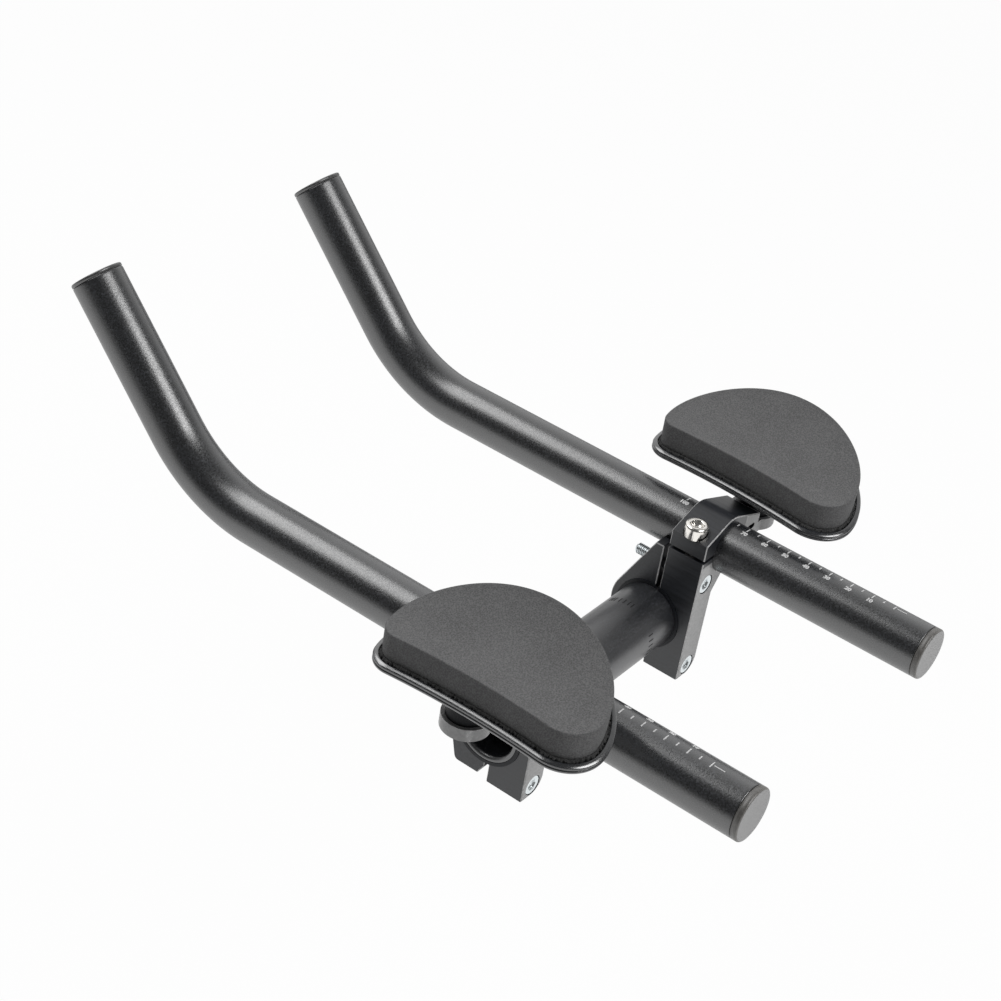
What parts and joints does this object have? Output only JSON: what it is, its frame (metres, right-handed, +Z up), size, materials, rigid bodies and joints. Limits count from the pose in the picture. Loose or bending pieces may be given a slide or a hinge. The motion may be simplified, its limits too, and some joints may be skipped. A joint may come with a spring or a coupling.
{
  "type": "clip-on aero bar set",
  "caption": "Bicycle handlebar extension: bent forward bars held by split clamps on a short cross tube, with padded arm rests on risers.",
  "frame": {"origin": "centre of the cross tube", "axes": "+X along the cross tube to the rider's right, +Y forward along the bars, +Z up"},
  "size_m": [0.2479, 0.3426, 0.1392],
  "materials": {
    "tube_black": "satin black anodised, fine blasted grain",
    "clamp_black": "black anodised extrusion",
    "shim_grey": "moulded sleeve",
    "screw_zinc": "bright zinc plated",
    "plug_black": "moulded, fine grain",
    "tray_black": "satin moulded with a glossy rim",
    "tape_black": "hook and loop tape",
    "pad_foam": "matt closed cell foam"
  },
  "bodies": {
    "root": {"cross_tube": "tube_black", "left_extension_bar": "tube_black", "left_front_plug": "plug_black", "left_rear_plug": "plug_black", "left_clamp_body": "clamp_black", "left_clamp_cap": "clamp_black", "left_clamp_bolts": "screw_zinc", "left_pinch_screw": "screw_zinc", "left_bar_shim": "shim_grey", "left_rest_riser": "clamp_black", "left_rest_screw": "screw_zinc", "left_rest_plate": "tray_black", "left_hook_sheet": "tape_black", "left_loop_sheet": "tape_black", "left_arm_pad": "pad_foam", "right_extension_bar": "tube_black", "right_front_plug": "plug_black", "right_rear_plug": "plug_black", "right_clamp_body": "clamp_black", "right_clamp_cap": "clamp_black", "right_clamp_bolts": "screw_zinc", "right_pinch_screw": "screw_zinc", "right_bar_shim": "shim_grey", "right_rest_riser": "clamp_black", "right_rest_screw": "screw_zinc", "right_rest_plate": "tray_black", "right_hook_sheet": "tape_black", "right_loop_sheet": "tape_black", "right_arm_pad": "pad_foam"}
  },
  "joints": []
}
